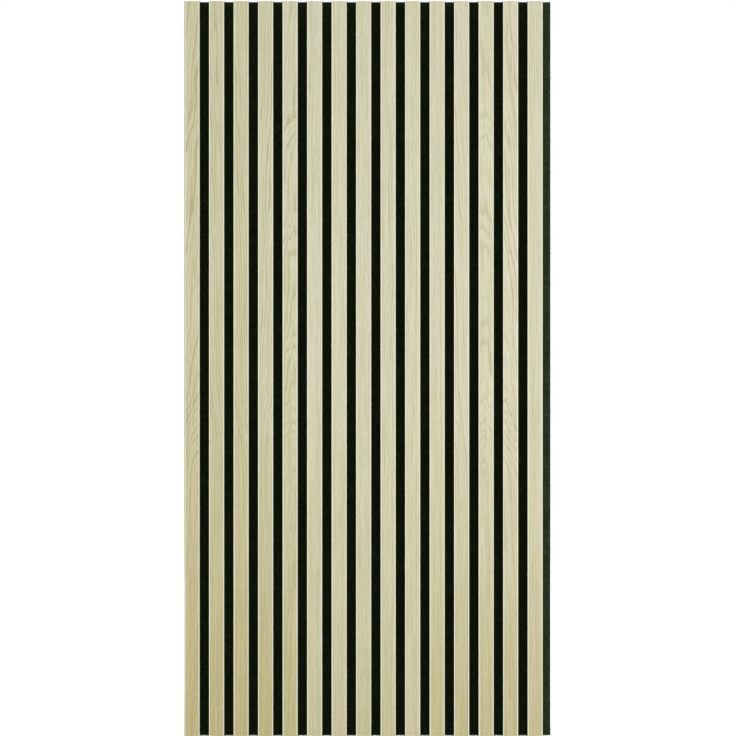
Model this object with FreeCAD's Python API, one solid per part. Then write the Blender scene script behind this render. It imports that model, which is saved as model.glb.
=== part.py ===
import FreeCAD, Part
import os

# An acoustic slat wall panel. Veneered slats stand side by side on one sheet of
# felt, and wire staples driven in from behind hold each slat there. The first slat
# is flush with the felt's edge. The felt runs past the last slat as a narrow
# tongue, so that a panel set edge to edge with this one keeps up the row of gaps.
#
# X runs across the slats, from the flush edge to the tongue. Y runs from the room
# into the wall, so the slat faces look along -Y. Z is up, along the slats. The
# origin is the centre of the flat back, which bears on the wall. Millimetres.

# Outline of the panel and its slats
PANEL_HEIGHT = 1200.0
SLAT_COUNT = 15
SLAT_WIDTH = 25.5
SLAT_GAP = 14.5
TONGUE_WIDTH = 13.0

# Layers, from the wall towards the room
FELT_THICKNESS = 9.0
CORE_THICKNESS = 11.4
FACE_THICKNESS = 0.6
FACE_ARRIS_RADIUS = 0.3

# Staples, in level rows, one in each slat
STAPLE_ROWS = 6
STAPLE_END_DISTANCE = 100.0
STAPLE_CROWN_WIDTH = 12.8
STAPLE_WIRE_WIDTH = 1.2
STAPLE_WIRE_THICKNESS = 0.8
STAPLE_BITE = 7.0
STAPLE_POINT_HEIGHT = 0.8
STAPLE_SLOT_CLEARANCE = 0.05

# Places that follow from the sizes
SLAT_PITCH = SLAT_WIDTH + SLAT_GAP
PANEL_WIDTH = (SLAT_COUNT - 1) * SLAT_PITCH + SLAT_WIDTH + TONGUE_WIDTH
LEFT_EDGE = -PANEL_WIDTH / 2
BOTTOM_EDGE = -PANEL_HEIGHT / 2
WALL_PLANE = 0.0
FELT_FRONT = WALL_PLANE - FELT_THICKNESS
CORE_FRONT = FELT_FRONT - CORE_THICKNESS
FACE_FRONT = CORE_FRONT - FACE_THICKNESS
STAPLE_REACH = FELT_THICKNESS + STAPLE_BITE
STAPLE_ROW_PITCH = (PANEL_HEIGHT - 2 * STAPLE_END_DISTANCE) / (STAPLE_ROWS - 1)


def slat_left(slat):
    """Return the X of a slat's left side, where slat 0 is the flush one."""
    return LEFT_EDGE + slat * SLAT_PITCH


def layer(left, width, back, thickness):
    """Return a full-height board that starts at back and grows towards the room."""
    corner = FreeCAD.Vector(left, back - thickness, BOTTOM_EDGE)
    return Part.makeBox(width, thickness, PANEL_HEIGHT, corner)


def staple_outline(clearance, point_height):
    """Return the flat U of a staple seen from above, centred on X = 0.

    The crown lies along the wall plane and the legs reach towards the room. The
    clearance widens the U for the slot that takes it, and each leg ends in a
    chisel point as deep as point_height.
    """
    outer = STAPLE_CROWN_WIDTH / 2 + clearance
    inner = STAPLE_CROWN_WIDTH / 2 - STAPLE_WIRE_THICKNESS - clearance
    crown_front = WALL_PLANE - STAPLE_WIRE_THICKNESS
    tip = WALL_PLANE - STAPLE_REACH - clearance
    shoulder = tip + point_height
    corners = [
        (-outer, WALL_PLANE),
        (-outer, shoulder),
        (-inner, tip),
        (-inner, crown_front),
        (inner, crown_front),
        (inner, tip),
        (outer, shoulder),
        (outer, WALL_PLANE),
    ]
    points = [FreeCAD.Vector(x, y, 0) for x, y in corners]
    return Part.Face(Part.makePolygon(points + points[:1]))


def staple_row(slat, outline, wire_width):
    """Return one solid for each row: the outline, as deep as the wire, in a slat."""
    middle = slat_left(slat) + SLAT_WIDTH / 2
    bar = outline.extrude(FreeCAD.Vector(0, 0, wire_width))
    solids = []
    for row in range(STAPLE_ROWS):
        height = BOTTOM_EDGE + STAPLE_END_DISTANCE + row * STAPLE_ROW_PITCH
        solid = bar.copy()
        solid.translate(FreeCAD.Vector(middle, 0, height - wire_width / 2))
        solids.append(solid)
    return solids


def staples_in(slat):
    """Return a slat's staples."""
    return staple_row(slat, staple_outline(0, STAPLE_POINT_HEIGHT), STAPLE_WIRE_WIDTH)


def staple_slots_in(slat):
    """Return the slots that a slat's staples leave in what they pass through."""
    width = STAPLE_WIRE_WIDTH + 2 * STAPLE_SLOT_CLEARANCE
    return staple_row(slat, staple_outline(STAPLE_SLOT_CLEARANCE, 0), width)


def felt_backing():
    """Return the sheet of felt, cut through where each staple passes."""
    sheet = layer(LEFT_EDGE, PANEL_WIDTH, WALL_PLANE, FELT_THICKNESS)
    slots = [slot for slat in range(SLAT_COUNT) for slot in staple_slots_in(slat)]
    return sheet.cut(Part.makeCompound(slots))


def slat_core(slat):
    """Return one slat's black core, with the blind slots of its staple legs."""
    board = layer(slat_left(slat), SLAT_WIDTH, FELT_FRONT, CORE_THICKNESS)
    return board.cut(Part.makeCompound(staple_slots_in(slat)))


def slat_face(slat):
    """Return one slat's veneer, with its front arrises sanded round."""
    sheet = layer(slat_left(slat), SLAT_WIDTH, CORE_FRONT, FACE_THICKNESS)
    front_edges = [
        edge for edge in sheet.Edges
        if all(abs(vertex.Y - FACE_FRONT) < FACE_THICKNESS / 2 for vertex in edge.Vertexes)
    ]
    return sheet.makeFillet(FACE_ARRIS_RADIUS, front_edges)


def all_staples():
    """Return every staple of the panel as one group of separate solids."""
    return Part.makeCompound(
        [staple for slat in range(SLAT_COUNT) for staple in staples_in(slat)]
    )


def save(node, shape):
    """Write one sub-part as a STEP file named after its node."""
    if not shape.isValid():
        raise ValueError(node + " isn't a valid shape")
    shape.exportStep(os.path.join("parts", node + ".step"))
    print(node, len(shape.Solids), "solid(s),", round(shape.Volume / 1000, 2), "cm3")


os.makedirs("parts", exist_ok=True)
save("felt_backing", felt_backing())
for slat in range(SLAT_COUNT):
    save("slat_core_%02d" % (slat + 1), slat_core(slat))
    save("slat_face_%02d" % (slat + 1), slat_face(slat))
save("staples", all_staples())
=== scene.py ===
"""The looks of the acoustic slat wall panel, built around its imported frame.

The slats keep their solids and are dressed in oak veneer and black board, each
slat with a leaf of veneer of its own. The felt and the staples are modelled here
in finer form than the solids that they stand for, and loose fibres stand on the
felt. Places and sizes are metres in the frame: X across the slats, Y into the
wall, Z up. Inside the materials, positions are worked out in millimetres, and
what one is multiplied by before it is read as noise is the number of lumps that
come on each millimetre.
"""

import functools
import logging
import math
import operator
import random
from dataclasses import dataclass
from enum import Enum
from typing import Callable, ClassVar, Dict, List, Optional, Sequence, Tuple, Union

import bmesh
import bpy
from mathutils import Euler, Matrix, Vector


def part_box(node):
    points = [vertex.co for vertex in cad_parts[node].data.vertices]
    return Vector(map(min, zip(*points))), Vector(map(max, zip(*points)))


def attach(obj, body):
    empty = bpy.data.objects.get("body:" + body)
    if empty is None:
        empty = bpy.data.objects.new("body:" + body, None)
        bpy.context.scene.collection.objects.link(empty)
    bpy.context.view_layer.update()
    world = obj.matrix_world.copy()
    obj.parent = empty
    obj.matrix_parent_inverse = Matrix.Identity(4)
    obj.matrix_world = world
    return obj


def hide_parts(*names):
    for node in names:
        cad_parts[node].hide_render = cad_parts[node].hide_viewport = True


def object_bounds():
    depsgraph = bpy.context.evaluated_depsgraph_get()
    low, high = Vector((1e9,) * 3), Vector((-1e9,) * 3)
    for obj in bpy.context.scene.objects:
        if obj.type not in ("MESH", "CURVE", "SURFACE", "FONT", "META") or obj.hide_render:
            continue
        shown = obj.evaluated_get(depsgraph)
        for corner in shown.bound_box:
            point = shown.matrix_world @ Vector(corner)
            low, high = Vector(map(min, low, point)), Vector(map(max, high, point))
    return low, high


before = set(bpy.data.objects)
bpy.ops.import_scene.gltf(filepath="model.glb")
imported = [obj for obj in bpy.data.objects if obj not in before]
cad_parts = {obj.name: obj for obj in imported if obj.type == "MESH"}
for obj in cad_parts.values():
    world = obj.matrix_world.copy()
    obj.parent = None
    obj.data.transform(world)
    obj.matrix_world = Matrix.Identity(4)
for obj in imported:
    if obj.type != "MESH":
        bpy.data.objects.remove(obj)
CAD_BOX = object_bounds()

log = logging.getLogger("panel")

Colour = Tuple[float, float, float, float]
Value = Union[float, int, "Signal"]
MM = 0.001
# Places that are nearer to each other than this count as one.
SAME_PLACE = 0.001 * MM
# A face looks along an axis if this much of its normal lies on it.
FACING = 0.9
# Edges that turn by more than this look sharp.
SHARP_ANGLE = math.radians(40)


def paint(red: int, green: int, blue: int) -> Colour:
    """Turn a colour as a screen shows it into the linear one that a shader takes.

    Args:
        red: Red, from 0 to 255.
        green: Green, from 0 to 255.
        blue: Blue, from 0 to 255.

    Returns:
        The linear colour, with full alpha.
    """
    def linear(level: int) -> float:
        """Return one linear channel."""
        share = level / 255
        return share / 12.92 if share <= 0.04045 else ((share + 0.055) / 1.055) ** 2.4

    return (linear(red), linear(green), linear(blue), 1.0)


class Signal:
    """A value that varies over a surface: one output socket, with arithmetic.

    An expression on signals adds the Math nodes that work it out, so 1 - mask is
    the output of a Subtract node.
    """

    def __init__(self, graph: "Graph", socket: bpy.types.NodeSocket) -> None:
        """Wrap an output socket of a graph."""
        self.graph = graph
        self.socket = socket

    def _math(self, operation: str, *values: Value) -> "Signal":
        """Return the output of a new Math node."""
        return self.graph.add("ShaderNodeMath", {"operation": operation}, dict(enumerate(values)))

    def __add__(self, other: Value) -> "Signal":
        """Return self + other."""
        return self._math("ADD", self, other)

    def __radd__(self, other: Value) -> "Signal":
        """Return other + self."""
        return self._math("ADD", other, self)

    def __sub__(self, other: Value) -> "Signal":
        """Return self - other."""
        return self._math("SUBTRACT", self, other)

    def __rsub__(self, other: Value) -> "Signal":
        """Return other - self."""
        return self._math("SUBTRACT", other, self)

    def __mul__(self, other: Value) -> "Signal":
        """Return self * other."""
        return self._math("MULTIPLY", self, other)

    def __rmul__(self, other: Value) -> "Signal":
        """Return other * self."""
        return self._math("MULTIPLY", other, self)

    def __truediv__(self, other: Value) -> "Signal":
        """Return self / other."""
        return self._math("DIVIDE", self, other)

    def __rtruediv__(self, other: Value) -> "Signal":
        """Return other / self."""
        return self._math("DIVIDE", other, self)

    def __abs__(self) -> "Signal":
        """Return the size of self without its sign."""
        return self._math("ABSOLUTE", self)

    def root(self) -> "Signal":
        """Return the square root."""
        return self._math("SQRT", self)

    def floor(self) -> "Signal":
        """Return the whole number below."""
        return self._math("FLOOR", self)

    def fraction(self) -> "Signal":
        """Return what is above the whole number below."""
        return self._math("FRACT", self)

    def swing(self, reach: float) -> "Signal":
        """Return how far a noise is above its middle, times a reach."""
        return (self - 0.5) * reach

    def rise(self, low: float, high: float) -> "Signal":
        """Return a smooth step.

        Args:
            low: The value at which the step leaves 0.
            high: The value at which it reaches 1.

        Returns:
            A signal from 0 to 1.
        """
        settings = {"interpolation_type": "SMOOTHSTEP"}
        return self.graph.add(
            "ShaderNodeMapRange", settings, {"Value": self, "From Min": low, "From Max": high}
        )


class Graph:
    """The node graph of one material, or of the world."""

    def __init__(self, owner: Union[bpy.types.Material, bpy.types.World]) -> None:
        """Start an empty graph.

        Args:
            owner: The new material or world that it belongs to.
        """
        owner.use_nodes = True
        self.owner = owner
        self.tree = owner.node_tree
        self.tree.nodes.clear()

    def node(
        self, kind: str, settings: Optional[dict] = None, inputs: Optional[dict] = None
    ) -> bpy.types.Node:
        """Add a node.

        Args:
            kind: The node's type.
            settings: Its settings, which are set first.
            inputs: What its sockets take, a value or a signal for each.

        Returns:
            The node.
        """
        node = self.tree.nodes.new(kind)
        for name, value in (settings or {}).items():
            setattr(node, name, value)
        for key, value in (inputs or {}).items():
            if isinstance(value, Signal):
                self.tree.links.new(value.socket, node.inputs[key])
            else:
                node.inputs[key].default_value = value
        return node

    def add(
        self,
        kind: str,
        settings: Optional[dict] = None,
        inputs: Optional[dict] = None,
        output: Union[int, str] = 0,
    ) -> Signal:
        """Add a node and return one of its outputs."""
        return Signal(self, self.node(kind, settings, inputs).outputs[output])

    def position(self) -> Tuple[Signal, Signal, Signal]:
        """Read where on the object a place is.

        Returns:
            Its X, Y and Z, in millimetres.
        """
        place = self.add("ShaderNodeTexCoord", output="Object")
        parts = self.node("ShaderNodeSeparateXYZ", inputs={0: self.shade(place, 1 / MM)}).outputs
        return Signal(self, parts[0]), Signal(self, parts[1]), Signal(self, parts[2])

    def at(self, x: Value, y: Value, z: Value) -> Signal:
        """Return a vector with these parts."""
        return self.add("ShaderNodeCombineXYZ", inputs={0: x, 1: y, 2: z})

    def noise(self, place: Signal, detail: float = 2.0, roughness: float = 0.5) -> Signal:
        """Return smooth noise about 0.5.

        Args:
            place: Where the noise is read, in units of its coarsest lump.
            detail: How many finer layers are added.
            roughness: How strong each finer layer is against the last.

        Returns:
            A signal from 0 to 1.
        """
        inputs = {"Vector": place, "Scale": 1.0, "Detail": detail, "Roughness": roughness}
        return self.add("ShaderNodeTexNoise", {"noise_dimensions": "3D"}, inputs)

    def mix(self, share: Value, first: Union[Signal, Colour], second: Union[Signal, Colour]) -> Signal:
        """Return a colour between two.

        Args:
            share: 0 for the first colour, 1 for the second.
            first: A colour.
            second: Another colour.

        Returns:
            The mixed colour.
        """
        return self.add(
            "ShaderNodeMix", {"data_type": "RGBA"}, {0: share, 6: first, 7: second}, output=2
        )

    def shade(self, colour: Signal, factor: Value) -> Signal:
        """Return a colour or a vector with all its parts multiplied by a factor."""
        return self.add(
            "ShaderNodeVectorMath", {"operation": "SCALE"}, {"Vector": colour, "Scale": factor}
        )

    def stain(self, colour: Signal, share: Value, tint: Colour) -> Signal:
        """Return a colour with a share of it multiplied by a tint, as a stain or painted shade does.

        Args:
            colour: The colour without it.
            share: 0 for none of the stain, 1 for all of it.
            tint: What the full stain multiplies the colour by.

        Returns:
            The stained colour.
        """
        stained = self.add("ShaderNodeVectorMath", {"operation": "MULTIPLY"}, {0: colour, 1: tint[:3]})
        return self.mix(share, colour, stained)

    def finish(
        self,
        colour: Signal,
        roughness: Value,
        height: Signal,
        relief: float,
        constants: Optional[Dict[str, Union[float, Colour]]] = None,
    ) -> bpy.types.Material:
        """End a material's graph in a Principled shader.

        Args:
            colour: The base colour.
            roughness: The roughness.
            height: The relief's shape, from 0 to 1.
            relief: The relief's full height in metres.
            constants: Values of the shader's other sockets, the same all over.

        Returns:
            The material.
        """
        bump = self.add(
            "ShaderNodeBump", None, {"Strength": 1.0, "Distance": relief, "Height": height}, "Normal"
        )
        inputs = {"Base Color": colour, "Roughness": roughness, "Normal": bump, **(constants or {})}
        shader = self.add("ShaderNodeBsdfPrincipled", None, inputs)
        self.node("ShaderNodeOutputMaterial", None, {"Surface": shader})
        return self.owner


@dataclass(frozen=True)
class Swelling:
    """A stretch over which the log grows thicker upwards, in millimetres.

    Attributes:
        foot: The Z where it begins.
        top: The Z where it ends.
        growth: How much thicker the log is above it.
    """

    foot: float
    top: float
    growth: float

    def thickening(self, z: Signal, share: float) -> Signal:
        """Return how far a share of the swelling has grown at a height."""
        return z.rise(self.foot, self.top) * (self.growth * share)


@dataclass(frozen=True)
class Grain:
    """Where in the log a leaf was sliced, and how much of the log it shows.

    Attributes:
        pith_aside: How far the pith lies to the leaf's side, in millimetres.
        pith_behind: How far the pith lies behind the leaf, in millimetres.
        swelling: How far the log's great swelling shows in it.
        upper_swellings: How far the swellings above that one show.
        marking: How strongly its rings are marked.
    """

    pith_aside: float
    pith_behind: float
    swelling: float
    upper_swellings: float
    marking: float


class Figure(Enum):
    """How a leaf's grain looks."""

    STRAIGHT = Grain(150.0, 20.0, swelling=1.0, upper_swellings=1.0, marking=0.55)
    LEANING = Grain(44.0, 40.0, swelling=1.0, upper_swellings=0.2, marking=0.95)
    SLANTED = Grain(40.0, 100.0, swelling=1.1, upper_swellings=0.4, marking=0.75)
    CRESTED = Grain(25.0, 90.0, swelling=0.8, upper_swellings=0.8, marking=0.6)
    ARCHED = Grain(4.5, 34.0, swelling=0.85, upper_swellings=0.8, marking=0.38)


class PithSide(Enum):
    """The side of a slat that the pith lay on, as the sign of its X."""

    LEFT = -1
    RIGHT = 1


@dataclass(frozen=True)
class Tinge:
    """What sets the colour of some leaves off from that of others.

    Attributes:
        tone: What the colour is multiplied by.
        blush: Its share of pink.
        mellowed: How far it has mellowed all over.
        low_shade_share: How strongly painted shade darkens and warms it low down and to the left.
    """

    tone: float
    blush: float
    mellowed: float
    low_shade_share: float


class Batch(Enum):
    """How a leaf's wood is coloured, and how much painted shade it takes low down."""

    HONEY = Tinge(tone=1.01, blush=0.6, mellowed=0.27, low_shade_share=0.62)
    PLAIN = Tinge(tone=1.0, blush=0.55, mellowed=0.08, low_shade_share=0.85)
    COOL = Tinge(tone=1.0, blush=0.55, mellowed=0.02, low_shade_share=0.5)
    ROSY = Tinge(tone=0.99, blush=0.7, mellowed=0.0, low_shade_share=1.0)


@dataclass(frozen=True)
class Leaf:
    """One slat's leaf of veneer, as it was sliced from the log.

    Attributes:
        number: The slat's number, from 1 at the flush edge.
        middle: X of the slat's centre line, in millimetres.
        half_width: Half the slat's width, in millimetres.
        figure: How its grain looks.
        side: The side of the slat that the pith lay on.
        batch: How its wood is coloured.
        seed: Its place in the noise, in lumps.
    """

    number: int
    middle: float
    half_width: float
    figure: Figure
    side: PithSide
    batch: Batch
    seed: float


@dataclass(frozen=True)
class OakVeneer:
    """Pale bleached oak under a dull lacquer, all of it sliced from one log.

    The leaves show the log's swellings at the same heights, and low down their
    grain runs straight. Black stain from the slat's sides ends on the arrises.
    A band of painted highlight runs along both edges of each leaf, and painted
    shade darkens and warms the wood low down and a little to the left.
    Sizes are in millimetres, apart from the relief.

    Attributes:
        pale: The wood's greener colour between the pores.
        pink: Its pinker colour between the pores.
        line: The bands of pores.
        mellow_and_shade: What the colour is multiplied by where it has mellowed and under painted
            shade.
        knot: The pin knots.
        edge_highlight: The painted highlight along the leaf's edges.
        stain: The black on its outermost edge.
        ring_width: Width of a growth ring.
        swelling: The log's great swelling.
        upper_swellings: The swellings above it.
        taper: How much the log thickens on every millimetre besides.
        wander: How far the pith strays sideways on its way up.
        ripple: How far the rings stray from round.
        seasons: How far good and bad years shift the rings.
        faint_to_marked: The Z below which the rings are faint, and the Z above which
            they are fully marked.
        faint_share: How much of their marking the faint rings keep.
        highlight_band: How wide the band of painted highlight is.
        highlight_fade: Over how much of its width it comes in.
        stain_width: How far the stain reaches in from the edge.
        stain_fade: How soft the stain's edge is.
        raggedness: How far the borders of both stray.
        specular: The lacquer's specular level.
        relief: Height of the grain, in metres.
    """

    pale: Colour = paint(217, 219, 190)
    pink: Colour = paint(224, 214, 193)
    line: Colour = paint(188, 182, 139)
    mellow_and_shade: Colour = (0.78, 0.69, 0.43, 1.0)
    knot: Colour = paint(140, 128, 90)
    edge_highlight: Colour = paint(246, 245, 221)
    stain: Colour = paint(9, 10, 7)
    ring_width: float = 2.7
    swelling: Swelling = Swelling(-190.0, -10.0, 20.0)
    upper_swellings: Tuple[Swelling, ...] = (
        Swelling(0.0, 90.0, 6.0), Swelling(170.0, 265.0, 7.0), Swelling(350.0, 430.0, 8.0)
    )
    taper: float = 0.025
    wander: float = 12.0
    ripple: float = 4.0
    seasons: float = 3.0
    faint_to_marked: Tuple[float, float] = (-260.0, -120.0)
    faint_share: float = 0.45
    highlight_band: float = 2.3
    highlight_fade: float = 0.7
    stain_width: float = 0.6
    stain_fade: float = 0.08
    raggedness: float = 0.35
    specular: float = 0.35
    relief: float = 0.00006

    def rings(self, graph: Graph, leaf: Leaf, across: Signal, y: Signal, z: Signal) -> Signal:
        """Count the growth rings from the pith out to each place on the leaf.

        Args:
            graph: The material's graph.
            leaf: The leaf of veneer.
            across: Distance from the slat's centre line, in millimetres.
            y: Depth in the frame, in millimetres.
            z: Height in the frame, in millimetres.

        Returns:
            The number of rings, with its fraction.
        """
        grain = leaf.figure.value
        wander = graph.noise(graph.at(leaf.seed, 0.0, z * 0.0024), 1.0).swing(self.wander)
        ripple = graph.noise(graph.at(across * 0.15, leaf.seed, z * 0.014), 0.0).swing(self.ripple)
        sideways = across - leaf.side.value * grain.pith_aside + wander
        inwards = z * self.taper + y + grain.pith_behind + self.swelling.thickening(z, grain.swelling)
        for swelling in self.upper_swellings:
            inwards = inwards + swelling.thickening(z, grain.upper_swellings)
        radius = (sideways * sideways + inwards * inwards).root()
        seasons = graph.noise(graph.at(radius * 0.2, leaf.seed + 60, 0.0), 1.0).swing(self.seasons)
        return (radius + ripple + seasons) / self.ring_width

    def knots(self, graph: Graph, leaf: Leaf, across: Signal, z: Signal) -> Signal:
        """Find the pin knots, each in the middle of one of a few wide cells.

        Args:
            graph: The material's graph.
            leaf: The leaf of veneer.
            across: Distance from the slat's centre line, in millimetres.
            z: Height in the frame, in millimetres.

        Returns:
            A signal that is 1 in a knot and 0 away from it.
        """
        place = graph.at(across * 0.05, leaf.seed, z * 0.02)
        cells = graph.node("ShaderNodeTexVoronoi", None, {"Vector": place, "Scale": 1.0}).outputs
        chance = graph.add("ShaderNodeSeparateXYZ", inputs={0: Signal(graph, cells["Color"])})
        return (1 - Signal(graph, cells["Distance"]).rise(0.02, 0.05)) * chance.rise(0.8, 0.82)

    def edges(self, graph: Graph, leaf: Leaf, across: Signal, z: Signal) -> Tuple[Signal, Signal]:
        """Find the band of painted highlight and the stained edge.

        Args:
            graph: The material's graph.
            leaf: The leaf of veneer.
            across: Distance from the slat's centre line, in millimetres.
            z: Height in the frame, in millimetres.

        Returns:
            How far a place is in the painted highlight, and in the stain, from 0 to 1.
        """
        ragged = graph.noise(graph.at(across * 0.1, leaf.seed, z * 0.09), 2.0).swing(self.raggedness)
        out = abs(across) + ragged
        inner = leaf.half_width - self.highlight_band
        edge = leaf.half_width - self.stain_width
        highlight_band = out.rise(inner, inner + self.highlight_fade)
        return highlight_band, out.rise(edge - self.stain_fade, edge + self.stain_fade)

    def material(self, leaf: Leaf) -> bpy.types.Material:
        """Make the material of one leaf.

        Args:
            leaf: The leaf of veneer.

        Returns:
            The material.
        """
        grain = leaf.figure.value
        tinge = leaf.batch.value
        graph = Graph(bpy.data.materials.new(f"oak_leaf_{leaf.number:02d}"))
        x, y, z = graph.position()
        across = x - leaf.middle
        count = self.rings(graph, leaf, across, y, z)
        phase = count.fraction()
        strength = graph.add(
            "ShaderNodeTexWhiteNoise", {"noise_dimensions": "1D"}, {"W": count.floor() + leaf.seed}
        )
        early = 1 - phase.rise(0.05, 0.65)
        late = phase.rise(0.6, 0.98)
        clear = z.rise(*self.faint_to_marked)
        marking = (clear * (1 - self.faint_share) + self.faint_share) * grain.marking
        fibre = graph.noise(graph.at(across * 0.5, y + leaf.seed, z * 0.008), 4.0, 0.75)
        streak = graph.noise(graph.at(across * 0.26 + leaf.seed, 0.0, z * 0.005), 2.0)
        cloud = graph.noise(graph.at(across * 0.04, leaf.seed + 7, z * 0.007), 2.0)
        hue = graph.noise(graph.at(across * 0.16, leaf.seed + 40, z * 0.005), 2.0)
        tint = graph.noise(graph.at(across * 0.45, leaf.seed + 80, z * 0.02), 1.0)
        fleck = graph.noise(graph.at(across * 0.6, y + leaf.seed, z * 0.06), 2.0)
        pore = graph.noise(graph.at(across * 3.4, y * 3 + leaf.seed, z * 0.11), 1.0).rise(0.56, 0.66)
        pore = pore * (early * 0.85 + 0.15)
        depth = (
            early * (strength * marking + 0.05) + late * 0.1 + pore * 0.6 + fibre.swing(1.75)
            + streak.swing(0.3) + cloud.swing(0.3) + fleck.swing(0.7) + 0.18 - clear * 0.05
        )
        wood = graph.mix(hue.swing(1.6) + tint.swing(1.3) + tinge.blush, self.pale, self.pink)
        wood = graph.mix(depth, wood, self.line)
        # Painted shade: the wood darkens and warms towards the bottom and a little to the left, where
        # less light falls, unevenly along the streaks; the batch's own mellowing is added all over.
        low_shade_mask = (z * -0.0016 - x * 0.0006 + streak.swing(0.7)).rise(-0.25, 1.5)
        wood = graph.stain(wood, low_shade_mask * tinge.low_shade_share + tinge.mellowed, self.mellow_and_shade)
        wood = graph.mix(self.knots(graph, leaf, across, z) * 0.7, wood, self.knot)
        highlight_band, stain = self.edges(graph, leaf, across, z)
        # Painted highlight: a pale cream band along both edges of the face, as if the arrises caught
        # the light.
        wood = graph.mix(highlight_band * 0.9, wood, self.edge_highlight)
        wood = graph.shade(wood, tinge.tone)
        wood = graph.mix(stain, wood, self.stain)
        rough = fibre.swing(0.16) + pore * 0.12 + 0.52
        height = fibre * 0.5 - pore * 0.5 - early * 0.2 + 0.5
        return graph.finish(wood, rough, height, self.relief, {"Specular IOR Level": self.specular})


@dataclass(frozen=True)
class BlackBoard:
    """Fibreboard dyed black right through, with sawn sides.

    Attributes:
        ground: The board's own colour.
        fleck: The paler fibres in it.
        specular: Its specular level.
        relief: Depth of the saw marks and fibres, in metres.
    """

    ground: Colour = paint(10, 12, 8)
    fleck: Colour = paint(33, 35, 29)
    specular: float = 0.25
    relief: float = 0.00007

    def material(self) -> bpy.types.Material:
        """Make the material.

        Returns:
            The material.
        """
        graph = Graph(bpy.data.materials.new("black_board"))
        x, y, z = graph.position()
        grain = graph.noise(graph.at(x * 1.4, y * 2.2, z * 1.1), 3.0, 0.65)
        cloud = graph.noise(graph.at(x * 0.12, y * 0.2, z * 0.07), 2.0)
        saw = graph.noise(graph.at(x * 0.02, y * 0.05, z * 0.55), 1.0)
        fibre = graph.noise(graph.at(x * 3.1 + 9, y * 6.4, z * 2.3), 1.0).rise(0.6, 0.74)
        board = graph.mix(fibre * 0.9 + grain.swing(0.9), self.ground, self.fleck)
        board = graph.shade(board, cloud.swing(0.5) + saw.swing(0.35) + 1)
        rough = grain.swing(0.2) + saw.swing(0.15) + 0.72
        height = grain * 0.4 + saw * 0.5
        return graph.finish(board, rough, height, self.relief, {"Specular IOR Level": self.specular})


@dataclass(frozen=True)
class NeedledFelt:
    """Matt felt of dark, slightly green fibres with a few grey ones among them.

    Attributes:
        name: The material's name.
        ground: The colour of most fibres.
        grey: The paler fibres.
        hollow_shade: Painted shade in the hollows between fibres.
        layers: How many layers of fibres cross one another.
        first_turn: The way the first layer lies, in radians from X.
        specular: The felt's specular level.
        sheen: How much of its fuzz catches the light.
        sheen_roughness: How widely the fuzz scatters it.
        sheen_tint: The fuzz's colour.
        relief: Height of the fibres, in metres.
    """

    name: str = "needled_felt"
    ground: Colour = paint(28, 44, 19)
    grey: Colour = paint(65, 78, 53)
    hollow_shade: Colour = paint(10, 19, 6)
    layers: int = 8
    first_turn: float = 0.2
    specular: float = 0.1
    sheen: float = 0.07
    sheen_roughness: float = 0.6
    sheen_tint: Colour = paint(200, 225, 185)
    relief: float = 0.0002

    def strands(self, graph: Graph, x: Signal, y: Signal, z: Signal, turn: float) -> Signal:
        """Return thin lines, as of fibres that lie more or less one way.

        Args:
            graph: The material's graph.
            x: X of the place, in millimetres.
            y: Y of the place.
            z: Z of the place.
            turn: The way the fibres lie, in radians from X.

        Returns:
            A signal that is 1 along each line and 0 away from it.
        """
        bend = graph.noise(graph.at(x * 0.13, turn * 9, z * 0.13), 0.0).swing(3.6)
        along = x * math.cos(turn) + z * math.sin(turn)
        beside = z * math.cos(turn) - x * math.sin(turn) + bend
        place = graph.at(along * 0.16, y * 2.6 + turn * 20, beside * 3.6)
        return graph.noise(place, 0.0).rise(0.6, 0.76)

    def material(self) -> bpy.types.Material:
        """Make the material, with the layers by turns dark and pale.

        Returns:
            The material.
        """
        graph = Graph(bpy.data.materials.new(self.name))
        x, y, z = graph.position()
        cloud = graph.noise(graph.at(x * 0.05, y * 0.2, z * 0.05), 2.0)
        nap = graph.noise(graph.at(x * 2.0, y * 3.5, z * 2.0), 2.0, 0.7)
        turns = [self.first_turn + math.pi * layer / self.layers for layer in range(self.layers)]
        layers = [self.strands(graph, x, y, z, turn) for turn in turns]
        pale = functools.reduce(operator.add, layers[0::2])
        dark = functools.reduce(operator.add, layers[1::2])
        # Painted shade: the felt darkens where the nap is low, which is also where its bump is low.
        wool = graph.mix((nap - 0.42) * 2.6, self.hollow_shade, self.ground)
        wool = graph.mix(dark * 0.5, wool, self.ground)
        wool = graph.mix(pale * (cloud + 0.1) * 0.6, wool, self.grey)
        wool = graph.shade(wool, cloud.swing(0.5) + 1)
        height = nap * 0.5 + dark * 0.25 + pale * 0.25
        constants = {
            "Specular IOR Level": self.specular,
            "Sheen Weight": self.sheen,
            "Sheen Roughness": self.sheen_roughness,
            "Sheen Tint": self.sheen_tint,
        }
        return graph.finish(wool, nap.swing(0.1) + 0.9, height, self.relief, constants)


@dataclass(frozen=True)
class GalvanisedWire:
    """Zinc on thin steel wire, dulled in patches.

    Attributes:
        bright: The clean zinc.
        dull: The dulled zinc.
        relief: Depth of the drawing marks, in metres.
    """

    bright: Colour = paint(186, 189, 192)
    dull: Colour = paint(120, 122, 123)
    relief: float = 0.00003

    def material(self) -> bpy.types.Material:
        """Make the material.

        Returns:
            The material.
        """
        graph = Graph(bpy.data.materials.new("galvanised_wire"))
        x, y, z = graph.position()
        patch = graph.noise(graph.at(x * 0.6, y * 0.6, z * 0.9), 3.0, 0.6)
        mark = graph.noise(graph.at(x * 0.4, y * 7, z * 7), 2.0)
        zinc = graph.mix((patch - 0.35) * 2.4, self.bright, self.dull)
        rough = patch.swing(0.35) + mark.swing(0.2) + 0.42
        return graph.finish(zinc, rough, mark, self.relief, {"Metallic": 1.0})


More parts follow.
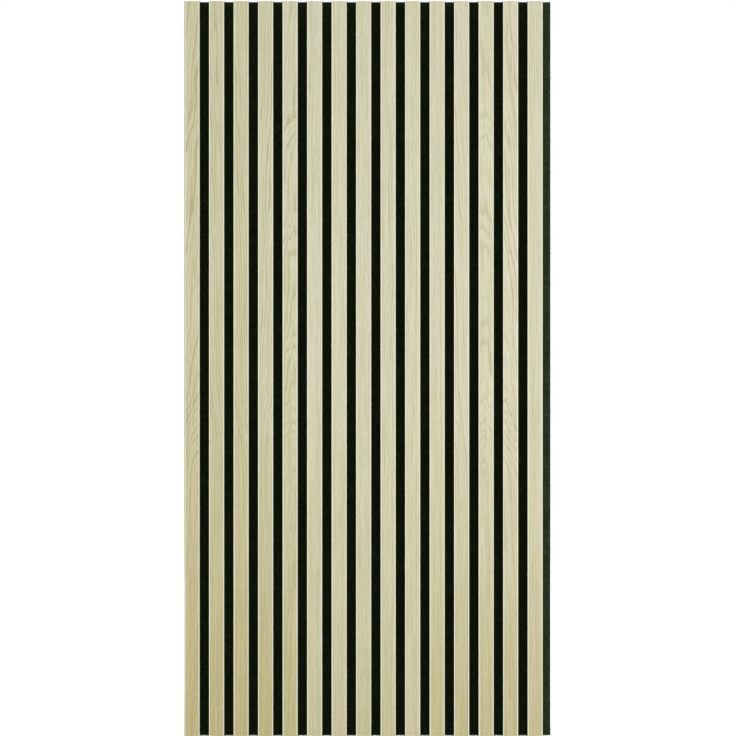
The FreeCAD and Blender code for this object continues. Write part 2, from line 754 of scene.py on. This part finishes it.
@dataclass(frozen=True)
class PaleFloor:
    """A plain pale studio floor, faintly mottled.

    Attributes:
        light: The floor's colour.
        shadow: The colour of its faint mottling.
        roughness: Its roughness.
        relief: Depth of the mottling, in metres.
    """

    light: Colour = paint(246, 246, 245)
    shadow: Colour = paint(240, 240, 239)
    roughness: float = 0.8
    relief: float = 0.0002

    def material(self) -> bpy.types.Material:
        """Make the material.

        Returns:
            The material.
        """
        graph = Graph(bpy.data.materials.new("pale_floor"))
        x, y, z = graph.position()
        mottle = graph.noise(graph.at(x * 0.004, y * 0.004, z), 3.0)
        colour = graph.mix(mottle, self.light, self.shadow)
        return graph.finish(colour, self.roughness, mottle, self.relief)


class MeshPart(Enum):
    """The parts of a mesh that can be selected, as edit mode calls them."""

    FACES = "FACE"
    CORNERS = "VERT"


class Piece:
    """A mesh object under work, with the edit-mode moves that the pieces share."""

    def __init__(self, name: str, low: Vector, high: Vector) -> None:
        """Start from a box.

        Args:
            name: The object's name.
            low: The box's lowest corner.
            high: The box's highest corner.
        """
        bpy.ops.object.select_all(action="DESELECT")
        bpy.ops.mesh.primitive_cube_add(size=1, location=(low + high) / 2, scale=high - low)
        self.object = bpy.context.active_object
        self.object.name = self.object.data.name = name
        bpy.ops.object.transform_apply(location=True, rotation=True, scale=True)

    def cut(self, axis: int, places: Sequence[float]) -> None:
        """Cut edges round the piece, square to an axis.

        Args:
            axis: 0, 1 or 2 for X, Y or Z.
            places: Where on that axis the cuts go.
        """
        normal = [float(number == axis) for number in range(3)]
        bpy.ops.object.mode_set(mode="EDIT")
        for place in places:
            bpy.ops.mesh.select_all(action="SELECT")
            point = [place * part for part in normal]
            bpy.ops.mesh.bisect(plane_co=point, plane_no=normal, threshold=SAME_PLACE)
        bpy.ops.object.mode_set(mode="OBJECT")

    def select(
        self, kind: MeshPart, wanted: Callable[[Union[bmesh.types.BMFace, bmesh.types.BMVert]], bool]
    ) -> None:
        """Enter edit mode with only some faces or some corners selected.

        Args:
            kind: Whether faces or corners are selected.
            wanted: Says whether a face or a corner is one of them.
        """
        bpy.ops.object.mode_set(mode="EDIT")
        bpy.ops.mesh.select_mode(type=kind.value)
        bpy.ops.mesh.select_all(action="DESELECT")
        mesh = bmesh.from_edit_mesh(self.object.data)
        for part in mesh.faces if kind is MeshPart.FACES else mesh.verts:
            part.select = wanted(part)
        mesh.select_flush(True)
        bmesh.update_edit_mesh(self.object.data)

    @staticmethod
    def pull(step: Sequence[float], reach: float) -> None:
        """Move what is selected, with what is near it following, and leave edit mode.

        Args:
            step: How far it moves along X, Y and Z.
            reach: How near the rest has to be to follow.
        """
        bpy.ops.transform.translate(
            value=step,
            use_proportional_edit=True,
            proportional_edit_falloff="SMOOTH",
            proportional_size=reach,
        )
        bpy.ops.object.mode_set(mode="OBJECT")

    def modify(self, kind: str, **settings: object) -> None:
        """Add a modifier and apply it.

        Args:
            kind: The modifier's type.
            **settings: Its settings.
        """
        modifier = self.object.modifiers.new(kind.lower(), kind)
        for name, value in settings.items():
            setattr(modifier, name, value)
        bpy.ops.object.modifier_apply(modifier=modifier.name)

    def dress(self, material: bpy.types.Material, slot: str, *nodes: str) -> None:
        """Give the piece its finish and its place in the frame.

        Args:
            material: What it is dressed in.
            slot: The record's material slot. It is not used.
            *nodes: The CAD nodes that it stands for.
        """
        self.object.data.materials.clear()
        self.object.data.materials.append(material)
        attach(self.object, "root")
        if nodes:
            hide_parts(*nodes)
        log.info("%s: %d faces", self.object.name, len(self.object.data.polygons))


@dataclass
class SlatRow:
    """The slats: fifteen cores and their leaves of veneer, kept as solids.

    Attributes:
        seed: Starts the draw of each leaf's place in the noise.
        noise_span: How much of the noise they are drawn from, in lumps.
        leaves: For each slat, how its grain looks, the side that the pith lay on and
            how its wood is coloured.
    """

    seed: int = 4
    noise_span: float = 900.0
    leaves: Tuple[Tuple[Figure, PithSide, Batch], ...] = (
        (Figure.SLANTED, PithSide.RIGHT, Batch.HONEY),
        (Figure.LEANING, PithSide.LEFT, Batch.HONEY),
        (Figure.LEANING, PithSide.LEFT, Batch.HONEY),
        (Figure.LEANING, PithSide.RIGHT, Batch.PLAIN),
        (Figure.CRESTED, PithSide.RIGHT, Batch.PLAIN),
        (Figure.STRAIGHT, PithSide.RIGHT, Batch.COOL),
        (Figure.STRAIGHT, PithSide.RIGHT, Batch.COOL),
        (Figure.STRAIGHT, PithSide.RIGHT, Batch.COOL),
        (Figure.STRAIGHT, PithSide.LEFT, Batch.COOL),
        (Figure.STRAIGHT, PithSide.LEFT, Batch.COOL),
        (Figure.STRAIGHT, PithSide.LEFT, Batch.PLAIN),
        (Figure.LEANING, PithSide.LEFT, Batch.ROSY),
        (Figure.ARCHED, PithSide.LEFT, Batch.PLAIN),
        (Figure.SLANTED, PithSide.LEFT, Batch.ROSY),
        (Figure.STRAIGHT, PithSide.LEFT, Batch.ROSY),
    )

    def sides(self, number: int) -> Tuple[float, float]:
        """Find a slat's left and right side.

        Args:
            number: The slat's number, from 1.

        Returns:
            The X of each, in metres.
        """
        low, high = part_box(f"slat_face_{number:02d}")
        return low.x, high.x

    def middles(self) -> List[float]:
        """Return the X of each slat's centre line, in metres."""
        return [sum(self.sides(number)) / 2 for number in range(1, len(self.leaves) + 1)]

    def width(self) -> float:
        """Return the width of a slat, in metres."""
        left, right = self.sides(1)
        return right - left

    def leaf(self, number: int, draw: random.Random) -> Leaf:
        """Choose one slat's leaf of veneer.

        Args:
            number: The slat's number, from 1.
            draw: Where its chances come from.

        Returns:
            The leaf.
        """
        left, right = self.sides(number)
        figure, side, batch = self.leaves[number - 1]
        return Leaf(
            number=number,
            middle=(left + right) / 2 / MM,
            half_width=(right - left) / 2 / MM,
            figure=figure,
            side=side,
            batch=batch,
            seed=draw.uniform(0.0, self.noise_span),
        )

    def dress(self) -> None:
        """Dress every core and every leaf."""
        draw = random.Random(self.seed)
        board = BlackBoard().material()
        veneer = OakVeneer()
        for number in range(1, len(self.leaves) + 1):
            leaf = self.leaf(number, draw)
            self.cover(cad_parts[f"slat_face_{number:02d}"], veneer.material(leaf))
            self.cover(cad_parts[f"slat_core_{number:02d}"], board)
            log.info("slat %d: %s leaf", number, leaf.figure.name.lower())

    @staticmethod
    def cover(node: bpy.types.Object, material: bpy.types.Material) -> None:
        """Put a material in a node's own slots."""
        for slot in node.material_slots:
            slot.material = material


@dataclass
class FeltSheet:
    """The felt behind the slats, drawn in where the staples pull on it.

    Attributes:
        middles: X of each slat's centre line.
        row_heights: Z of each row of staples.
        crown_width: Width of a staple's crown.
        crown_depth: How far the crowns pull the felt in.
        steps_aside: How far past both ends of a crown the sheet is cut for its dimple.
        steps_up: How far above and below the middle of a crown it is cut for it.
        fill_pitch: How far apart it is cut from bottom to top.
        dimple_reach: How far round a crown the felt is drawn in.
        edge_softness: Rounding of the cut edges.
        edge_angle: How sharp an edge has to be to be rounded, in degrees.
        unevenness: How far the surface strays from flat.
        hill_size: Width of its rises and hollows.
        flat_level: Where between hollow, 0, and rise, 1, the surface stays as it was.
    """

    middles: Sequence[float]
    row_heights: Sequence[float]
    crown_width: float
    crown_depth: float
    steps_aside: Tuple[float, ...] = (-0.0002, 0.0016, 0.0034, 0.0062)
    steps_up: Tuple[float, ...] = (0.0008, 0.0022, 0.004, 0.0068, 0.012)
    fill_pitch: float = 0.02
    dimple_reach: float = 0.0065
    edge_softness: float = 0.0007
    edge_angle: float = 60.0
    unevenness: float = 0.0003
    hill_size: float = 0.03
    flat_level: float = 0.7

    def build(self) -> Piece:
        """Model the sheet.

        Returns:
            The undressed piece.
        """
        low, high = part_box("felt_backing")
        felt = Piece("felt_sheet", low, high)
        aside = [self.crown_width / 2 + step for step in self.steps_aside]
        felt.cut(0, self.both_ways(self.middles, aside) + list(self.middles))
        felt.cut(2, self.both_ways(self.row_heights, self.steps_up))
        fill_count = int((high.z - low.z) / self.fill_pitch)
        felt.cut(2, [low.z + (number + 0.5) * self.fill_pitch for number in range(fill_count)])
        self.draw_in(felt, high.y)
        felt.modify(
            "BEVEL",
            width=self.edge_softness,
            segments=2,
            limit_method="ANGLE",
            angle_limit=math.radians(self.edge_angle),
        )
        self.roughen(felt)
        bpy.ops.object.shade_smooth_by_angle(angle=SHARP_ANGLE)
        return felt

    @staticmethod
    def both_ways(places: Sequence[float], steps: Sequence[float]) -> List[float]:
        """Return the places that lie each step before and after each given one."""
        return [place + sign * step for place in places for sign in (-1, 1) for step in steps]

    def draw_in(self, felt: Piece, back: float) -> None:
        """Pull the back in under every crown, with the felt around it following.

        Args:
            felt: The sheet.
            back: Y of its back.
        """
        def under_a_crown(face: bmesh.types.BMFace) -> bool:
            """Find out whether a face lies under a crown.

            Args:
                face: A face of the sheet.

            Returns:
                True if it is on the back and under one of the crowns.
            """
            middle = face.calc_center_median()
            return (
                middle.y > back - SAME_PLACE
                and min(abs(middle.z - height) for height in self.row_heights) < self.steps_up[0]
                and min(abs(middle.x - place) for place in self.middles) < self.crown_width / 2
            )

        felt.select(MeshPart.FACES, under_a_crown)
        felt.pull((0, -self.crown_depth, 0), self.dimple_reach)

    def roughen(self, felt: Piece) -> None:
        """Let the surface stray a little from flat, more inwards than outwards.

        Args:
            felt: The sheet.
        """
        cloud = bpy.data.textures.new("felt_unevenness", "CLOUDS")
        cloud.noise_scale = self.hill_size
        cloud.noise_depth = 2
        felt.modify(
            "DISPLACE",
            texture=cloud,
            texture_coords="LOCAL",
            strength=self.unevenness,
            mid_level=self.flat_level,
        )


@dataclass
class Staples:
    """The wire staples, each driven from behind through the felt into a core.

    Attributes:
        row_count: How many rows of them the panel has.
        middles: X of each slat's centre line.
        row_heights: Z of each row.
        crown_width: Width over the legs.
        reach: Length from the crown's back to the points.
        wire_thickness: The wire's size in the plane of the staple.
        wire_width: The wire's size up the slat.
        point_depth: How far each leg is ground back on its outer side.
        softness: Rounding of the wire's edges.
    """

    row_count: ClassVar[int] = 6
    middles: Sequence[float]
    row_heights: Sequence[float]
    crown_width: float
    reach: float
    wire_thickness: float = 0.0008
    wire_width: float = 0.0012
    point_depth: float = 0.0008
    softness: float = 0.0002

    @classmethod
    def in_frame(cls, middles: Sequence[float]) -> "Staples":
        """Take the staples' size and places from their CAD node.

        Args:
            middles: X of each slat's centre line.

        Returns:
            The staples, still to be built.
        """
        low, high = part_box("staples")
        bottom = low.z + cls.wire_width / 2
        row_pitch = (high.z - low.z - cls.wire_width) / (cls.row_count - 1)
        return cls(
            middles=middles,
            row_heights=[bottom + number * row_pitch for number in range(cls.row_count)],
            crown_width=high.x - low.x - (middles[-1] - middles[0]),
            reach=high.y - low.y,
        )

    def build(self) -> Piece:
        """Model one staple and repeat it over the panel.

        Returns:
            The undressed piece.
        """
        half = self.crown_width / 2
        place = Vector((self.middles[0], 0.0, self.row_heights[0]))
        low = place + Vector((-half, -self.wire_thickness, -self.wire_width / 2))
        high = place + Vector((half, 0.0, self.wire_width / 2))
        wire = Piece("wire_staples", low, high)
        inner = half - self.wire_thickness
        wire.cut(0, [place.x - inner, place.x + inner])
        wire.select(
            MeshPart.FACES,
            lambda face: face.normal.y < -FACING and abs(face.calc_center_median().x - place.x) > inner,
        )
        leg = self.reach - self.wire_thickness
        bpy.ops.mesh.extrude_region_move(TRANSFORM_OT_translate={"value": (0, -leg, 0)})
        self.point(wire, place.x)
        wire.modify("BEVEL", width=self.softness, segments=2, limit_method="ANGLE")
        self.repeat(wire, len(self.middles), (self.middles[1] - self.middles[0], 0, 0))
        self.repeat(wire, len(self.row_heights), (0, 0, self.row_heights[1] - self.row_heights[0]))
        bpy.ops.object.shade_smooth_by_angle(angle=SHARP_ANGLE)
        return wire

    def point(self, wire: Piece, middle: float) -> None:
        """Grind the outer side of both tips back to a chisel point.

        Args:
            wire: The staple.
            middle: X of its middle.
        """
        tip = SAME_PLACE - self.reach
        outer = self.crown_width / 2 - SAME_PLACE
        wire.select(
            MeshPart.CORNERS, lambda corner: corner.co.y < tip and abs(corner.co.x - middle) > outer
        )
        bpy.ops.transform.translate(value=(0, self.point_depth, 0))
        bpy.ops.object.mode_set(mode="OBJECT")

    @staticmethod
    def repeat(wire: Piece, count: int, step: Tuple[float, float, float]) -> None:
        """Repeat the piece in a line.

        Args:
            wire: The staple, or a line of staples.
            count: How many there are in the end.
            step: From each one to the next.
        """
        wire.modify(
            "ARRAY",
            count=count,
            use_relative_offset=False,
            use_constant_offset=True,
            constant_offset_displace=step,
        )


@dataclass
class LooseFibres:
    """Single fibres that stand off the felt, most of them along its cut edges.

    Attributes:
        middles: X of each slat's centre line.
        slat_width: Width of a slat.
        radius: Thickness of a fibre, from its middle.
        length: Length of the fibre that the others are copied from.
        bends: Where it can bend, as shares of its length from its middle.
        crest: How far from its middle it is bowed most, as a share of its length.
        bow: How far its middle stands up and aside, as shares of its length.
        roll: How far a copy may be rolled over to either side, in radians.
        pitch: How far one of its ends may be tipped up, in radians.
        lengths: The shortest and the longest copy, against the first fibre.
        bows: The least and the most bowed aside, against the first fibre.
        finish: What they are dressed in, paler and smoother than the felt.
        per_metre: How many stand on each metre of cut edge.
        per_groove: How many lie on the felt between two slats.
        on_tongue: How many lie on the bare tongue.
        on_back: How many lie on the back.
        seed: Starts the draw of their places.
    """

    middles: Sequence[float]
    slat_width: float
    radius: float = 0.00004
    length: float = 0.0036
    bends: Tuple[float, ...] = (-0.3, -0.1, 0.1, 0.3)
    crest: float = 0.15
    bow: Tuple[float, float] = (0.2, 0.08)
    roll: float = 0.5
    pitch: float = 0.12
    lengths: Tuple[float, float] = (0.5, 1.1)
    bows: Tuple[float, float] = (0.8, 1.2)
    finish: NeedledFelt = NeedledFelt(name="loose_fibre", ground=paint(62, 70, 56), relief=0.00001)
    per_metre: int = 240
    per_groove: int = 30
    on_tongue: int = 160
    on_back: int = 400
    seed: int = 5

    def model(self) -> Piece:
        """Model one curved fibre about the origin.

        Returns:
            The fibre.
        """
        half = Vector((self.length / 2, self.radius, self.radius))
        fibre = Piece("loose_fibres", -half, half)
        fibre.cut(0, [self.length * share for share in self.bends])
        fibre.select(MeshPart.CORNERS, lambda corner: abs(corner.co.x) < self.length * self.crest)
        up, aside = self.bow
        fibre.pull((0, self.length * aside, self.length * up), self.length / 2)
        return fibre

    def places(self, draw: random.Random) -> List[Tuple[Vector, Vector]]:
        """Choose where the fibres stand.

        Args:
            draw: Where the chances come from.

        Returns:
            A point on the felt and the outward direction there, for each fibre.
        """
        low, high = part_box("felt_backing")
        found = []

        def spread(count: int, start: Vector, end: Vector, outward: Vector) -> None:
            """Add some places in a box, all facing one way.

            Args:
                count: How many.
                start: The box's lowest corner.
                end: Its highest corner.
                outward: The way they face.
            """
            for _ in range(count):
                point = Vector([draw.uniform(a, b) for a, b in zip(start, end)])
                found.append((point, outward))

        tall = round(self.per_metre * (high.z - low.z))
        wide = round(self.per_metre * (high.x - low.x))
        spread(tall, low, Vector((low.x, high.y, high.z)), Vector((-1, 0, 0)))
        spread(tall, Vector((high.x, low.y, low.z)), high, Vector((1, 0, 0)))
        spread(wide, low, Vector((high.x, high.y, low.z)), Vector((0, 0, -1)))
        spread(wide, Vector((low.x, low.y, high.z)), high, Vector((0, 0, 1)))
        front = Vector((0, -1, 0))
        half = self.slat_width / 2
        for left, right in zip(self.middles, self.middles[1:]):
            start = Vector((left + half, low.y, low.z))
            end = Vector((right - half, low.y, high.z))
            spread(self.per_groove, start, end, front)
        start = Vector((self.middles[-1] + half, low.y, low.z))
        spread(self.on_tongue, start, Vector((high.x, low.y, high.z)), front)
        spread(self.on_back, Vector((low.x, high.y, low.z)), high, -front)
        return found

    def build(self) -> Piece:
        """Copy the fibre to every place, each copy turned and sized by chance.

        Returns:
            The undressed piece.
        """
        draw = random.Random(self.seed)
        fibre = self.model()
        copies = []
        for point, outward in self.places(draw):
            lean = (draw.uniform(-self.roll, self.roll), draw.uniform(-self.pitch, self.pitch), 0)
            turn = Euler(lean).to_matrix().to_4x4()
            spin = Matrix.Rotation(draw.uniform(0, 2 * math.pi), 4, "Z")
            stand = outward.to_track_quat("Z", "X").to_matrix().to_4x4()
            size = Matrix.Diagonal((draw.uniform(*self.lengths), draw.uniform(*self.bows), 1, 1))
            copy = fibre.object.copy()
            copy.data = fibre.object.data.copy()
            copy.data.transform(Matrix.Translation(point) @ stand @ spin @ turn @ size)
            bpy.context.collection.objects.link(copy)
            copies.append(copy)
        bpy.data.objects.remove(fibre.object)
        bpy.ops.object.select_all(action="DESELECT")
        for copy in copies:
            copy.select_set(True)
        bpy.context.view_layer.objects.active = copies[0]
        bpy.ops.object.join()
        fibre.object = bpy.context.active_object
        fibre.object.name = fibre.object.data.name = "loose_fibres"
        return fibre


@dataclass(frozen=True)
class Softbox:
    """A square soft light that faces the panel's middle.

    Attributes:
        name: Its name.
        place: Where it hangs.
        power: Its power, in watts.
        colour: Its colour.
        spread: How wide the grid in front of it lets its light out, in degrees.
        size: Length of its sides.
    """

    name: str
    place: Tuple[float, float, float]
    power: float
    colour: Tuple[float, float, float] = (1.0, 1.0, 1.0)
    spread: float = 180.0
    size: float = 1.6

    def hang(self) -> None:
        """Hang the light."""
        data = bpy.data.lights.new(self.name, "AREA")
        data.shape = "SQUARE"
        data.size = self.size
        data.energy = self.power
        data.color = self.colour
        data.spread = math.radians(self.spread)
        lamp = bpy.data.objects.new(self.name, data)
        lamp.location = self.place
        lamp.rotation_euler = (-Vector(self.place)).to_track_quat("-Z", "Y").to_euler()
        lamp.visible_camera = False
        bpy.context.collection.objects.link(lamp)


@dataclass
class Studio:
    """The floor, the lights and the camera.

    Attributes:
        photo_pixels: Width and height of the photograph.
        pixel_size: What one pixel of the photograph covers at the slats' faces.
        lens: Focal length, in millimetres.
        sensor: Width of the sensor, in millimetres.
        left_shift: How far left of the picture's middle the panel's middle is, in pixels.
        rise: How far above the picture's middle it is, in pixels.
        floor_size: Length of the floor's sides.
        ceiling_strength: Strength of the light from above, in watts on each square metre.
        ceiling_width: How wide that light looks from the floor, in degrees.
        ceiling_tilt: How far it comes from the upright, in degrees.
        ambient: Colour of the light from all around.
        ambient_strength: Its strength, where 1 is what the camera sees.
        softboxes: The lights on the panel.
    """

    photo_pixels: int = 736
    pixel_size: float = 1.6322 * MM
    lens: float = 120.0
    sensor: float = 36.0
    left_shift: float = 0.4
    rise: float = -0.55
    floor_size: float = 30.0
    ceiling_strength: float = 2.9
    ceiling_width: float = 20.0
    ceiling_tilt: float = 3.0
    ambient: Colour = (1.0, 0.97, 0.8, 1.0)
    ambient_strength: float = 0.34
    softboxes: Tuple[Softbox, ...] = (
        Softbox("key", (6.15, -4.8, 0.3), 36.9, (0.9, 0.95, 1.0), spread=42.0),
        Softbox("back_fill", (-1.6, 2.6, 1.4), 60.0),
    )

    def add_camera(self) -> None:
        """Set the camera square to the panel, as far off as its lens asks."""
        data = bpy.data.cameras.new("camera")
        data.lens = self.lens
        data.sensor_width = self.sensor
        camera = bpy.data.objects.new("camera", data)
        bpy.context.collection.objects.link(camera)
        faces = CAD_BOX[0].y
        distance = self.photo_pixels * self.pixel_size * self.lens / self.sensor
        camera.location = (
            self.left_shift * self.pixel_size, faces - distance, -self.rise * self.pixel_size
        )
        camera.rotation_euler = (math.pi / 2, 0, 0)
        bpy.context.scene.camera = camera

    def add_floor(self) -> None:
        """Lay the floor under the panel, with no light thrown back by it on matt surfaces."""
        bpy.ops.object.select_all(action="DESELECT")
        bpy.ops.mesh.primitive_plane_add(size=self.floor_size, location=(0, 0, CAD_BOX[0].z))
        floor = bpy.context.active_object
        floor.name = "floor"
        bpy.ops.object.transform_apply(location=True, rotation=True, scale=True)
        floor.data.materials.append(PaleFloor().material())
        floor.visible_diffuse = False

    def add_surroundings(self) -> None:
        """Surround the scene with white that lights it less than it shows."""
        graph = Graph(bpy.data.worlds.new("surroundings"))
        lighting = graph.add(
            "ShaderNodeBackground", None, {"Color": self.ambient, "Strength": self.ambient_strength}
        )
        shown = graph.add("ShaderNodeBackground", None, {"Color": (1.0, 1.0, 1.0, 1.0)})
        from_camera = graph.add("ShaderNodeLightPath", output="Is Camera Ray")
        choice = graph.add("ShaderNodeMixShader", None, {0: from_camera, 1: lighting, 2: shown})
        graph.node("ShaderNodeOutputWorld", None, {"Surface": choice})
        bpy.context.scene.world = graph.owner

    def add_ceiling(self) -> None:
        """Hang an even, soft light straight above, which whitens the floor."""
        data = bpy.data.lights.new("ceiling", "SUN")
        data.energy = self.ceiling_strength
        data.angle = math.radians(self.ceiling_width)
        lamp = bpy.data.objects.new("ceiling", data)
        lamp.rotation_euler = (math.radians(self.ceiling_tilt), 0, 0)
        bpy.context.collection.objects.link(lamp)

    def build(self) -> None:
        """Set up the whole studio."""
        self.add_camera()
        self.add_floor()
        self.add_surroundings()
        self.add_ceiling()
        for softbox in self.softboxes:
            softbox.hang()
        bpy.context.scene.view_settings.view_transform = "Standard"


def main() -> None:
    """Build the studio and dress the panel."""
    logging.basicConfig(level=logging.INFO, format="%(name)s: %(message)s")
    Studio().build()
    slats = SlatRow()
    slats.dress()
    middles = slats.middles()
    staples = Staples.in_frame(middles)
    felt = FeltSheet(middles, staples.row_heights, staples.crown_width, staples.wire_thickness)
    felt.build().dress(NeedledFelt().material(), "felt", "felt_backing")
    staples.build().dress(GalvanisedWire().material(), "staple_wire", "staples")
    fibres = LooseFibres(middles, slats.width())
    fibres.build().dress(fibres.finish.material(), "felt")


if __name__ == "__main__":
    main()
